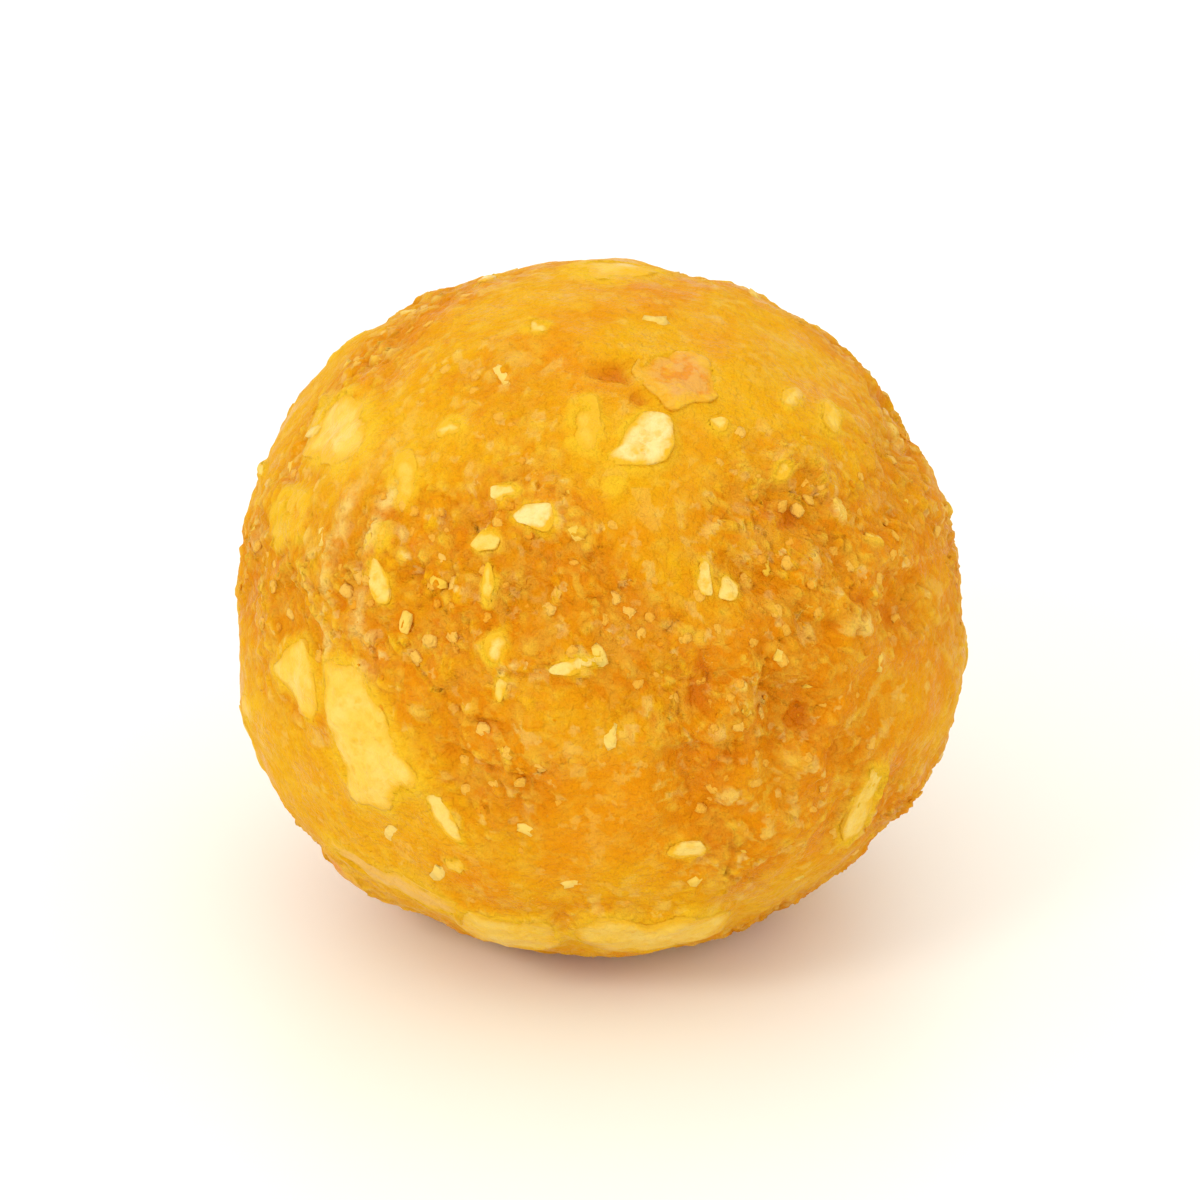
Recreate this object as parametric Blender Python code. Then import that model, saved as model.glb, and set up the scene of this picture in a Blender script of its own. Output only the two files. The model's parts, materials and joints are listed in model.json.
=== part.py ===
"""A hand-rolled mawa ladoo, as one solid.

The ladoo is a dense ball of roasted, ghee-bound mawa, a little wider than tall. It stands on the
small flat spot that its own weight presses into it. Chopped nuts lie in its skin and stand a
little proud of it, and patches of the skin are crumbly, where the palm dragged it open.

Metres, +Z up. The origin is the middle of the flat spot, and the front faces -Y.
Azimuths run from -Y towards +X, and latitudes run up from the ball's middle, in degrees.
"""

import math
import random

import bmesh
import bpy
from mathutils import Vector, noise

MM = 0.001

# The ball
HALF_WIDTH = 20.0 * MM
HALF_HEIGHT = 19.05 * MM
SPOT_RADIUS = 8.0 * MM
CELLS_PER_SIDE = 24  # squares along each side of the cube that the ball is blown up from

# Soft swells and dips of the rolled form
SWELLS = (
    {"azimuth": -73, "latitude": -31, "spread": 27, "rise": 0.85 * MM},
    {"azimuth": 72, "latitude": -32, "spread": 26, "rise": 0.45 * MM},
    {"azimuth": 0, "latitude": 90, "spread": 30, "rise": -0.25 * MM},
    {"azimuth": 178, "latitude": -14, "spread": 36, "rise": 0.35 * MM},
    {"azimuth": 128, "latitude": 28, "spread": 30, "rise": -0.35 * MM},
    {"azimuth": -122, "latitude": 30, "spread": 26, "rise": 0.4 * MM},
)

# Lumps all over the skin: the size of a lump and how far it stands out
LUMPS = (
    {"size": 8.0 * MM, "height": 0.42 * MM},
    {"size": 3.4 * MM, "height": 0.3 * MM},
)
SMOOTH_BELOW = -62  # the latitude at the flat spot's edge, where the lumps are pressed smooth
ROUGH_ABOVE = -47

# Patches where the skin is torn into pits
CRUMBLY = (
    {"azimuth": 26, "latitude": 6, "spread": 22, "depth": 1.1 * MM},
    {"azimuth": -17, "latitude": 31, "spread": 12, "depth": 0.6 * MM},
    {"azimuth": 152, "latitude": -8, "spread": 22, "depth": 1.0 * MM},
    {"azimuth": -128, "latitude": 6, "spread": 18, "depth": 0.8 * MM},
)
PIT_SIZE = 3.2 * MM
PIT_STEEPNESS = 2.4
PIT_SHARE = 0.35  # the larger, the more of a crumbly patch is open
PIT_OFFSET = Vector((7.3, 1.9, 4.4))  # sets the pits apart from the lumps

# Chopped nuts of the front, in millimetres and degrees. Turn runs from level up to the right.
FRONT_CHIPS = (
    {"azimuth": -37, "latitude": -1, "length": 8.4, "width": 5.2, "turn": -67},
    {"azimuth": -52, "latitude": 5, "length": 4.2, "width": 3.6, "turn": -26},
    {"azimuth": 10, "latitude": 51, "length": 4.2, "width": 3.2, "turn": 43},
    {"azimuth": -4, "latitude": 54, "length": 4.2, "width": 2.6, "turn": -84},
    {"azimuth": -70, "latitude": 42, "length": 7.4, "width": 3.8, "turn": 8},
    {"azimuth": -68, "latitude": 27, "length": 4.4, "width": 3.6, "turn": -5},
    {"azimuth": -70, "latitude": -8, "length": 4.2, "width": 1.7, "turn": 34},
    {"azimuth": -42, "latitude": 40, "length": 4.6, "width": 1.7, "turn": -54},
    {"azimuth": -38, "latitude": 24, "length": 2.8, "width": 1.1, "turn": -50},
    {"azimuth": -13, "latitude": 39, "length": 2.4, "width": 1.5, "turn": -4},
    {"azimuth": -21, "latitude": 34, "length": 2.2, "width": 1.3, "turn": 18},
    {"azimuth": -20, "latitude": 42, "length": 1.9, "width": 1.1, "turn": 4},
    {"azimuth": -38, "latitude": 50, "length": 1.9, "width": 1.2, "turn": 22},
    {"azimuth": -16, "latitude": 19, "length": 1.6, "width": 1.1, "turn": 84},
    {"azimuth": 18, "latitude": 29, "length": 2.1, "width": 0.9, "turn": 86},
    {"azimuth": -4, "latitude": 17, "length": 3.9, "width": 1.0, "turn": 16},
    {"azimuth": -24, "latitude": -10, "length": 3.9, "width": 1.1, "turn": -55},
    {"azimuth": 14, "latitude": -15, "length": 2.1, "width": 1.2, "turn": 4},
    {"azimuth": 47, "latitude": -16, "length": 5.1, "width": 2.1, "turn": 84},
    {"azimuth": -41, "latitude": -29, "length": 10.5, "width": 2.8, "turn": -15},
    {"azimuth": -18, "latitude": -41, "length": 5.0, "width": 3.8, "turn": 4},
    {"azimuth": 6, "latitude": -40, "length": 7.0, "width": 3.8, "turn": -3},
    {"azimuth": 20, "latitude": 64, "length": 5.6, "width": 4.2, "turn": -60},
    {"azimuth": 58, "latitude": 52, "length": 2.4, "width": 1.1, "turn": 10},
    {"azimuth": 65, "latitude": 46, "length": 3.0, "width": 1.3, "turn": 26},
    {"azimuth": 168, "latitude": 79, "length": 7.0, "width": 4.6, "turn": 54},
    {"azimuth": -36, "latitude": 73, "length": 2.3, "width": 1.5, "turn": -13},
)

# Chopped nuts of the rest of the ball, and crumbs all over it, spread evenly by a rule.
# Strays are how far a piece lies from its even place, in degrees of azimuth and of latitude.
SPREAD_CHIPS = {
    "places": 62,
    "shortest": 2.0,
    "longest": 7.6,
    "small_ones": 2.2,  # above 1, small pieces outnumber large ones
    "narrowest": 0.4,
    "widest": 0.75,
    "stray": (7, 6),
    "lowest": -46,
    "seed": 11,
}
CRUMBS = {
    "places": 74,
    "shortest": 1.0,
    "longest": 1.7,
    "small_ones": 1.0,
    "narrowest": 0.6,
    "widest": 0.9,
    "stray": (8, 7),
    "lowest": -52,
    "seed": 5,
}
FRONT_DIRECTION = {"azimuth": 0, "latitude": 20}
FRONT_ANGLE = 78  # nearer the front than this, the chips are the ones listed above
LEAST_GAP = 11  # degrees between the middles of a spread piece and a chip

# A bedded piece's own form
NUT_FORM = {"corners": 6, "proud": 0.3 * MM}
CRUMB_FORM = {"corners": 5, "proud": 0.28 * MM}
PIECE_ROOT = 1.3 * MM  # how deep a piece is bedded
ROOT_SHARE = 0.8  # a piece's root is this much smaller than its face
EDGE_BEVEL = 0.18 * MM
CORNER_STRAY = 0.32  # of the angle between two corners
CORNER_REACH = (0.76, 1.16)

GOLDEN_ANGLE = math.pi * (3 - math.sqrt(5))
SHARP_EDGE = math.radians(35)
MERGE_DISTANCE = 1e-7

DOUGH_COLOUR = (0.84, 0.36, 0.02, 1)
NUT_COLOUR = (0.95, 0.64, 0.15, 1)


def clear_scene():
    for obj in list(bpy.data.objects):
        bpy.data.objects.remove(obj, do_unlink=True)


def material(name, colour, roughness):
    made = bpy.data.materials.new(name)
    made.use_nodes = True
    shader = made.node_tree.nodes["Principled BSDF"]
    shader.inputs["Base Color"].default_value = colour
    shader.inputs["Roughness"].default_value = roughness
    shader.inputs["Metallic"].default_value = 0.0
    return made


def direction(place):
    """The unit vector from the ball's middle towards a place's azimuth and latitude."""
    azimuth = math.radians(place["azimuth"])
    latitude = math.radians(place["latitude"])
    level = math.cos(latitude)
    return Vector((math.sin(azimuth) * level, -math.cos(azimuth) * level, math.sin(latitude)))


def nearness(toward, place):
    """1 in the middle of a place on the ball, falling smoothly to 0 outside its spread."""
    angle = toward.angle(direction(place))
    return math.exp(-((angle / math.radians(place["spread"])) ** 2))


def clamp(value):
    return min(1.0, max(0.0, value))


def middle():
    """The middle of the ball, at the height that gives the flat spot its radius."""
    height = HALF_HEIGHT * math.sqrt(1 - (SPOT_RADIUS / HALF_WIDTH) ** 2)
    return Vector((0, 0, height))


def rounded(toward):
    """The distance from the ball's middle to its rolled form, without lumps and pits."""
    level = math.hypot(toward.x, toward.y) / HALF_WIDTH
    upright = toward.z / HALF_HEIGHT
    return 1 / math.hypot(level, upright) + sum(nearness(toward, s) * s["rise"] for s in SWELLS)


def lumps(toward):
    latitude = math.degrees(math.asin(toward.z))
    share = clamp((latitude - SMOOTH_BELOW) / (ROUGH_ABOVE - SMOOTH_BELOW))
    return share * sum(noise.noise(toward * (HALF_WIDTH / s["size"])) * s["height"] for s in LUMPS)


def pits(toward):
    torn = noise.noise(toward * (HALF_WIDTH / PIT_SIZE) + PIT_OFFSET)
    depth = sum(nearness(toward, patch) * patch["depth"] for patch in CRUMBLY)
    return depth * clamp(PIT_SHARE - PIT_STEEPNESS * torn)


def skin(toward, height=0.0):
    """The point of the skin that lies in a direction, or one at a height over it."""
    return middle() + toward * (rounded(toward) + lumps(toward) - pits(toward) + height)


def mesh_object(name, bm, coat):
    mesh = bpy.data.meshes.new(name)
    bm.to_mesh(mesh)
    bm.free()
    mesh.materials.append(coat)
    obj = bpy.data.objects.new(name, mesh)
    bpy.context.scene.collection.objects.link(obj)
    return obj


def ball(name, coat):
    """A cube's even grid blown up to the ball, and cut flat where it stands."""
    bm = bmesh.new()
    bmesh.ops.create_cube(bm, size=2)
    bmesh.ops.subdivide_edges(bm, edges=bm.edges, cuts=CELLS_PER_SIDE - 1, use_grid_fill=True)
    for vertex in bm.verts:
        even = [math.tan(c * math.pi / 4) for c in vertex.co]  # keeps the squares alike in size
        vertex.co = skin(Vector(even).normalized())
    bmesh.ops.bisect_plane(
        bm,
        geom=bm.verts[:] + bm.edges[:] + bm.faces[:],
        dist=MERGE_DISTANCE,
        plane_co=(0, 0, 0),
        plane_no=(0, 0, 1),
        clear_inner=True,
    )
    rim = [edge for edge in bm.edges if edge.is_boundary]
    bmesh.ops.contextual_create(bm, geom=rim)
    bmesh.ops.recalc_face_normals(bm, faces=bm.faces)
    return mesh_object(name, bm, coat)


def broken_outline(corners, rng):
    """A broken piece's outline, in shares of its half length and half width."""
    outline = []
    for k in range(corners):
        angle = 2 * math.pi * (k + rng.uniform(-CORNER_STRAY, CORNER_STRAY)) / corners
        reach = rng.uniform(*CORNER_REACH)
        outline.append((math.cos(angle) * reach, math.sin(angle) * reach))
    return outline


def bedded_piece(name, place, form, coat, rng):
    """A broken piece with a bevelled rim, bedded in the skin and following its form."""
    toward = direction(place)
    azimuth = math.radians(place["azimuth"])
    turn = math.radians(place["turn"])
    east = Vector((math.cos(azimuth), math.sin(azimuth), 0))
    north = toward.cross(east)
    along = (east * math.cos(turn) + north * math.sin(turn)) * (place["length"] * MM / 2)
    across = (north * math.cos(turn) - east * math.sin(turn)) * (place["width"] * MM / 2)
    outline = broken_outline(form["corners"], rng)
    inset = 1 - 2 * EDGE_BEVEL / (place["width"] * MM)
    levels = (
        {"height": -PIECE_ROOT, "share": ROOT_SHARE},
        {"height": form["proud"] - EDGE_BEVEL, "share": 1.0},
        {"height": form["proud"], "share": inset},
    )
    bm = bmesh.new()
    rings = []
    for level in levels:
        ring = []
        for x, y in outline:
            aim = toward * rounded(toward) + (along * x + across * y) * level["share"]
            ring.append(bm.verts.new(skin(aim.normalized(), level["height"])))
        rings.append(ring)
    top = bm.verts.new(skin(toward, form["proud"]))
    bm.faces.new(rings[0][::-1])
    for k in range(form["corners"]):
        n = (k + 1) % form["corners"]
        for low, high in zip(rings, rings[1:]):
            bm.faces.new((low[k], low[n], high[n], high[k]))
        bm.faces.new((rings[-1][k], rings[-1][n], top))
    return mesh_object(name, bm, coat)


def even_places(count):
    """Azimuth and latitude of points spread evenly over the ball, on a spiral."""
    for k in range(count):
        latitude = math.degrees(math.asin(1 - 2 * (k + 0.5) / count))
        azimuth = math.degrees(k * GOLDEN_ANGLE) % 360 - 180
        yield azimuth, latitude


def is_clear(place, others):
    """Whether a place keeps its distance from every other place."""
    toward = direction(place)
    return all(toward.angle(direction(other)) > math.radians(LEAST_GAP) for other in others)


def spread(rule):
    """Pieces of drawn sizes and turns, each near its even place on the ball."""
    rng = random.Random(rule["seed"])
    for azimuth, latitude in even_places(rule["places"]):
        draw = rng.random() ** rule["small_ones"]
        length = rule["shortest"] + (rule["longest"] - rule["shortest"]) * draw
        yield {
            "azimuth": azimuth + rng.uniform(-1, 1) * rule["stray"][0],
            "latitude": latitude + rng.uniform(-1, 1) * rule["stray"][1],
            "length": length,
            "width": length * rng.uniform(rule["narrowest"], rule["widest"]),
            "turn": rng.uniform(-90, 90),
        }


def all_chips():
    chips = list(FRONT_CHIPS)
    front = direction(FRONT_DIRECTION)
    for place in spread(SPREAD_CHIPS):
        off_front = direction(place).angle(front) > math.radians(FRONT_ANGLE)
        if off_front and place["latitude"] > SPREAD_CHIPS["lowest"] and is_clear(place, chips):
            chips.append(place)
    return chips


def all_crumbs(chips):
    return [p for p in spread(CRUMBS) if p["latitude"] > CRUMBS["lowest"] and is_clear(p, chips)]


def fuse(body, pieces):
    """One Boolean union of the body with the pieces' collection, applied."""
    group = bpy.data.collections.new("bedded_pieces")
    bpy.context.scene.collection.children.link(group)
    for piece in pieces:
        bpy.context.scene.collection.objects.unlink(piece)
        group.objects.link(piece)
    union = body.modifiers.new("bed_pieces", "BOOLEAN")
    union.operation = "UNION"
    union.operand_type = "COLLECTION"
    union.collection = group
    union.solver = "EXACT"
    union.material_mode = "TRANSFER"
    graph = bpy.context.evaluated_depsgraph_get()
    body.data = bpy.data.meshes.new_from_object(body.evaluated_get(graph))
    body.modifiers.remove(union)
    for piece in pieces:
        bpy.data.objects.remove(piece, do_unlink=True)
    bpy.data.collections.remove(group)


def ladoo():
    dough = material("roasted_mawa", DOUGH_COLOUR, roughness=0.45)
    nut = material("chopped_nut", NUT_COLOUR, roughness=0.4)
    body = ball("ladoo", dough)
    rng = random.Random(SPREAD_CHIPS["seed"])
    chips = all_chips()
    pieces = [bedded_piece("chip", chip, NUT_FORM, nut, rng) for chip in chips]
    for crumb in all_crumbs(chips):
        pieces.append(bedded_piece("crumb", crumb, CRUMB_FORM, dough, rng))
    fuse(body, pieces)
    body.data.shade_smooth()
    body.data.set_sharp_from_angle(angle=SHARP_EDGE)


clear_scene()
ladoo()
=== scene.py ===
import json
import math
import random

import bmesh
import bpy
import numpy as np
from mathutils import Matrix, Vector, noise

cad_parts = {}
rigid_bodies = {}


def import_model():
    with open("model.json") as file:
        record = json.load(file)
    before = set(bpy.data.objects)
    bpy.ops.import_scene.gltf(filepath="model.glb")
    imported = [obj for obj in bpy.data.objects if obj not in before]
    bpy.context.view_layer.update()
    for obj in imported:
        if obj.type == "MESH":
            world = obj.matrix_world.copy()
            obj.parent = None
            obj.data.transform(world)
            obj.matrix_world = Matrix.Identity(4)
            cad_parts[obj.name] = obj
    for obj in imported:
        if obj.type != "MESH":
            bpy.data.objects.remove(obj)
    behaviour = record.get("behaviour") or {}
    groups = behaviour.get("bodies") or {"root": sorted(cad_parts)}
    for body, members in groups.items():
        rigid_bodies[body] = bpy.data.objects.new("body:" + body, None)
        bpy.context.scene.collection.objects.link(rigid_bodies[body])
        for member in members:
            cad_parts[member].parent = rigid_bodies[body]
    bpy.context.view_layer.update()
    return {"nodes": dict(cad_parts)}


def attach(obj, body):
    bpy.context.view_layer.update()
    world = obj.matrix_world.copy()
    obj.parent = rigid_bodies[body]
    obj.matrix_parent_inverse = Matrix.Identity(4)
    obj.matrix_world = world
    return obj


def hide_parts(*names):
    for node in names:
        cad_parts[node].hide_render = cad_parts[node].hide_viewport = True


# Mawa ladoo: a ghee-bound ball with chopped nuts in its skin. Metres, +Z up, front towards -Y.
# Azimuths run from -Y towards +X, latitudes up from the ball's middle, both in degrees.

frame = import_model()
print("frame loaded:", sorted(frame["nodes"]))

mm = 0.001
perMillimetre = 1000.0  # turns object coordinates in metres to millimetres
goldenAngle = math.pi * (3 - math.sqrt(5))

# The rolled form is the solid's own, so these values are the same as there.
ball = {
    "halfWidth": 20.0 * mm,
    "halfHeight": 19.05 * mm,
    "spotRadius": 8.0 * mm,
    "cellsPerSide": 126,
    "smoothBelow": -62,  # latitude of the flat spot's edge
    "roughAbove": -47,
    "grainAbove": -66,  # where the fine grain starts
}


def area(azimuth, latitude, spread, **strength):  # a round area that fades out over its spread, in degrees
    return {"azimuth": azimuth, "latitude": latitude, "spread": spread, **strength}


swells = (
    area(-73, -31, spread=27, rise=0.85 * mm),
    area(72, -32, spread=26, rise=0.45 * mm),
    area(0, 90, spread=30, rise=-0.25 * mm),
    area(178, -14, spread=36, rise=0.35 * mm),
    area(128, 28, spread=30, rise=-0.35 * mm),
    area(-122, 30, spread=26, rise=0.4 * mm),
)
lumps = (
    {"size": 8.0 * mm, "height": 0.42 * mm},
    {"size": 3.4 * mm, "height": 0.3 * mm},
)
torn = {
    "patches": (
        area(26, 6, spread=22, depth=1.1 * mm),
        area(-17, 31, spread=12, depth=0.6 * mm),
        area(152, -8, spread=22, depth=1.0 * mm),
        area(-128, 6, spread=18, depth=0.8 * mm),
    ),
    "size": 3.2 * mm,
    "steepness": 2.4,
    "share": 0.35,
    "shift": (7.3, 1.9, 4.4),
}
middle = np.array((0, 0, ball["halfHeight"] * math.sqrt(1 - (ball["spotRadius"] / ball["halfWidth"]) ** 2)))


def towards(azimuth, latitude):
    a = math.radians(azimuth)
    b = math.radians(latitude)
    return np.array((math.sin(a) * math.cos(b), -math.cos(a) * math.cos(b), math.sin(b)))


def angleFrom(aims, place):
    return np.degrees(np.arccos(np.clip(aims @ towards(place["azimuth"], place["latitude"]), -1, 1)))


def nearness(aims, place):
    return np.exp(-((angleFrom(aims, place) / place["spread"]) ** 2))


def softStep(value, low, high):
    share = np.clip((value - low) / (high - low), 0, 1)
    return share * share * (3 - 2 * share)


def perlin(aims, size, shift=(0, 0, 0)):  # a shift of its own keeps each field apart from the others
    points = aims * (ball["halfWidth"] / size) + np.array(shift)
    return np.array([noise.noise(p) for p in points.tolist()])


def formReach(aims):  # from the middle to the skin, before its fine grain
    level = np.hypot(aims[:, 0], aims[:, 1]) / ball["halfWidth"]
    reach = 1 / np.hypot(level, aims[:, 2] / ball["halfHeight"])
    for swell in swells:
        reach += nearness(aims, swell) * swell["rise"]
    latitude = np.degrees(np.arcsin(np.clip(aims[:, 2], -1, 1)))
    share = np.clip((latitude - ball["smoothBelow"]) / (ball["roughAbove"] - ball["smoothBelow"]), 0, 1)
    for lump in lumps:
        reach += share * perlin(aims, lump["size"]) * lump["height"]
    openShare = np.clip(torn["share"] - torn["steepness"] * perlin(aims, torn["size"], torn["shift"]), 0, 1)
    for patch in torn["patches"]:
        reach -= nearness(aims, patch) * patch["depth"] * openShare
    return reach


def nut(azimuth, latitude, turn, tone, bare, proud, long=0, wide=0, corners=()):
    return {
        "azimuth": azimuth, "latitude": latitude, "turn": turn, "tone": tone, "bare": bare, "proud": proud,
        "long": long, "wide": wide, "corners": corners,
    }


# Nuts of the front, in millimetres, with a length and width or with corners. Turn runs from level up
# to the right. Tone runs from 0, tan skin, over 0.3, flake, and 0.55, golden, to 1, cream.
# Bare is how much of a nut's face shows, from 0, all under dough, to 1, all of it.
frontChips = (
    nut(-37, -1, -67, tone=0.66, bare=1.05, proud=0.3, corners=(
        (-4.9, -1.5), (-4.7, 0.4), (-2.0, 1.9), (0.9, 1.9), (2.1, 2.9), (2.6, 1.5), (3.4, -0.6), (3.2, -2.6),
        (0.0, -2.5))),
    nut(-52, 5, -26, tone=0.64, bare=1.05, proud=0.2, corners=(
        (-1.5, 0.9), (-0.9, 2.0), (1.1, 0.8), (2.1, -0.1), (1.6, -1.3), (-2.3, -1.9))),
    nut(10, 51, 43, tone=1.0, bare=1.08, proud=0.36, corners=(
        (0.5, 1.4), (1.7, 1.2), (1.9, -0.3), (0.9, -1.3), (-0.2, -1.8), (-1.3, -0.8), (-2.3, 0.6),
        (-0.9, 0.8))),
    nut(-4, 54, -84, tone=0.55, bare=0.55, proud=0.1, long=4.2, wide=2.6),
    nut(-70, 41, 8, tone=0.66, bare=0.8, proud=0.12, corners=(
        (-3.9, 0.0), (-2.8, 1.7), (0.2, 2.1), (3.0, 1.5), (3.9, -0.3), (2.8, -1.8), (-2.4, -2.3))),
    nut(-68, 27, -5, tone=0.52, bare=0.3, proud=0.05, long=4.4, wide=3.6),
    nut(-70, -8, 34, tone=0.55, bare=0.5, proud=0.05, long=4.2, wide=1.7),
    nut(-42, 40, -54, tone=0.56, bare=0.6, proud=0.05, long=4.6, wide=1.7),
    nut(-38, 24, -50, tone=0.8, bare=1.0, proud=0.12, long=2.8, wide=1.1),
    nut(-41, 31, -61, tone=0.6, bare=0.9, proud=0.1, long=1.6, wide=0.9),
    nut(-13, 39, -4, tone=1.0, bare=1.1, proud=0.22, long=2.4, wide=1.5),
    nut(-21, 34, 18, tone=0.76, bare=1.05, proud=0.16, long=2.2, wide=1.3),
    nut(-20, 42, 4, tone=0.88, bare=1.05, proud=0.16, long=1.9, wide=1.1),
    nut(-38, 50, 22, tone=0.8, bare=0.9, proud=0.1, long=1.9, wide=1.2),
    nut(-19, 28, -80, tone=0.7, bare=0.9, proud=0.1, long=2.5, wide=0.8),
    nut(-16, 19, 84, tone=0.8, bare=1.0, proud=0.15, long=1.6, wide=1.1),
    nut(-15, 13, -88, tone=0.75, bare=1.0, proud=0.12, long=1.5, wide=0.7),
    nut(-4, 17, 16, tone=0.86, bare=1.1, proud=0.22, long=3.9, wide=1.0),
    nut(18, 29, 86, tone=0.86, bare=1.05, proud=0.16, long=2.1, wide=0.9),
    nut(22, 27, 73, tone=0.82, bare=1.0, proud=0.14, long=1.5, wide=1.2),
    nut(-24, -10, -55, tone=0.82, bare=1.1, proud=0.2, long=3.9, wide=1.1),
    nut(-24, -20, 68, tone=0.6, bare=0.9, proud=0.1, long=1.8, wide=1.2),
    nut(14, -15, 4, tone=0.76, bare=1.05, proud=0.16, long=2.1, wide=1.2),
    nut(47, -16, 84, tone=0.7, bare=1.0, proud=0.16, corners=(
        (2.6, 0.6), (2.4, -0.8), (0.8, -1.2), (-2.1, -0.6), (-2.6, 0.4), (-1.0, 1.1))),
    nut(58, 52, 10, tone=0.7, bare=1.0, proud=0.15, long=2.4, wide=1.1),
    nut(65, 46, 26, tone=0.6, bare=0.95, proud=0.15, long=3.0, wide=1.3),
    nut(40, 42, 24, tone=0.68, bare=0.8, proud=0.1, long=1.5, wide=0.9),
    nut(31, 52, 2, tone=0.8, bare=1.0, proud=0.1, long=1.1, wide=0.9),
    nut(3, 44, -6, tone=0.75, bare=1.0, proud=0.1, long=1.1, wide=0.8),
    nut(-40, -30, -15, tone=0.32, bare=0.8, proud=0.04, corners=(
        (-5.2, -0.3), (-3.4, 1.5), (-1.4, 0.9), (0.4, 1.7), (2.2, 1.0), (4.4, 1.3), (5.2, -0.4), (2.2, -1.7),
        (0.1, -1.0), (-2.4, -1.6))),
    nut(-18, -38, 4, tone=0.62, bare=1.05, proud=0.45, corners=(
        (-2.7, 1.2), (-1.6, 2.5), (0.6, 1.7), (2.4, 1.9), (2.7, -0.8), (0.8, -2.5), (-2.2, -1.8))),
    nut(10, -37, -1, tone=0.64, bare=1.0, proud=0.45, corners=(
        (-4.2, 0.4), (-2.8, 2.3), (-0.4, 1.4), (1.6, 2.6), (3.0, 1.3), (4.3, 1.5), (3.6, -1.6), (0.4, -2.6),
        (-3.2, -1.7))),
    nut(27, 63, -14, tone=0.04, bare=0.85, proud=0.03, corners=(
        (-2.2, 0.6), (-1.4, 1.9), (-0.4, 1.7), (1.2, 2.2), (2.2, 1.2), (2.4, -1.4), (1.2, -2.0), (-0.7, -2.4),
        (-1.8, -1.2))),
    nut(168, 79, 54, tone=0.58, bare=0.7, proud=0.1, long=7.0, wide=4.6),
    nut(-36, 73, -13, tone=0.82, bare=1.0, proud=0.14, long=2.3, wide=1.5),
)
spreadChips = {  # the rest of the ball, by the solid's own rule
    "places": 62,
    "shortest": 2.0,
    "longest": 7.6,
    "smallOnes": 2.2,
    "narrowest": 0.4,
    "widest": 0.75,
    "strayAzimuth": 7,
    "strayLatitude": 6,
    "lowest": -46,
    "front": (0, 20),
    "frontAngle": 78,
    "leastGap": 11,
    "seed": 11,
    "tones": (0.05, 0.3, 0.5, 0.56, 0.6, 0.66, 0.72, 0.85, 0.95),
    "proud": (0.12, 0.32),
    "bare": (0.45, 1.05),
}


def evenPlaces(count):
    for k in range(count):
        latitude = math.degrees(math.asin(1 - 2 * (k + 0.5) / count))
        yield math.degrees(k * goldenAngle) % 360 - 180, latitude


def placeChips():
    rule = spreadChips
    rng = random.Random(rule["seed"])
    lookRng = random.Random(rule["seed"] + 1)
    chips = [dict(chip) for chip in frontChips]
    for azimuth, latitude in evenPlaces(rule["places"]):
        length = rule["shortest"] + (rule["longest"] - rule["shortest"]) * rng.random() ** rule["smallOnes"]
        chip = {
            "azimuth": azimuth + rng.uniform(-1, 1) * rule["strayAzimuth"],
            "latitude": latitude + rng.uniform(-1, 1) * rule["strayLatitude"],
            "long": length,
            "wide": length * rng.uniform(rule["narrowest"], rule["widest"]),
            "turn": rng.uniform(-90, 90),
            "tone": lookRng.choice(rule["tones"]),
            "proud": lookRng.uniform(*rule["proud"]),
            "bare": lookRng.uniform(*rule["bare"]),
            "corners": (),
        }
        aim = towards(chip["azimuth"], chip["latitude"])
        gaps = [angleFrom(aim, other) for other in chips]
        offFront = math.degrees(math.acos(aim @ towards(*rule["front"]))) > rule["frontAngle"]
        if offFront and chip["latitude"] > rule["lowest"] and min(gaps) > rule["leastGap"]:
            chips.append(chip)
    return chips


chipMaking = {
    "spokes": 64,
    "rings": (0.16, 0.32, 0.46, 0.58, 0.68, 0.77, 0.85, 0.92, 0.98, 1.04),
    "rootRings": ((1.0, -0.3 * mm), (0.8, -0.9 * mm)),  # share of its reach, and depth under the skin
    "cornerCounts": (5, 6, 7),
    "cornerStray": 0.3,
    "cornerReach": (0.78, 1.12),
    "lean": (0.03, 0.04),
    "crown": 0.3,  # share of its height that the top falls towards the rim
    "crownEnd": 1.05,
    "chipped": 0.009,  # how far the rim wanders
    "chippedSize": 1.5 * mm,
    "facet": 0.26 * mm,
    "facetSize": 2.2 * mm,
    "fibre": 0.11 * mm,
    "fibreSize": 0.8 * mm,
    "filmLeast": 0.25 * mm,  # width of the dough smeared over its rim
    "filmShare": 0.2,
    "clearance": 0.05 * mm,  # over the floor
    "seed": 3,
}
doughOverNut = {  # how the dough closes over a nut's edge
    "ragged": 0.55 * mm,
    "raggedSizes": (1.7 * mm, 0.8 * mm),
    "raggedFine": 0.6,
    "film": 0.05 * mm,
    "step": 0.06 * mm,  # of a nut's side that stays free
    "socket": 0.22 * mm,
    "freeEdge": (-0.06 * mm, 0.1 * mm),
    "rimEdge": (-0.2 * mm, 0.05 * mm),
    "lipLeast": 0.2 * mm,
    "lipShare": 0.3,  # of the nut's size
    "lipSmooths": 0.5,  # share of the skin's grain that the lip takes off
    "shineLeast": 0.2 * mm,
    "shineShare": 0.32,
    "shineInside": -0.1 * mm,
    "shineByTone": (0.2, 1.2),
}
leastFacing = 0.2  # of a nut's flat plane, past which an aim is far off it
farOff = 99.0


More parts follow.
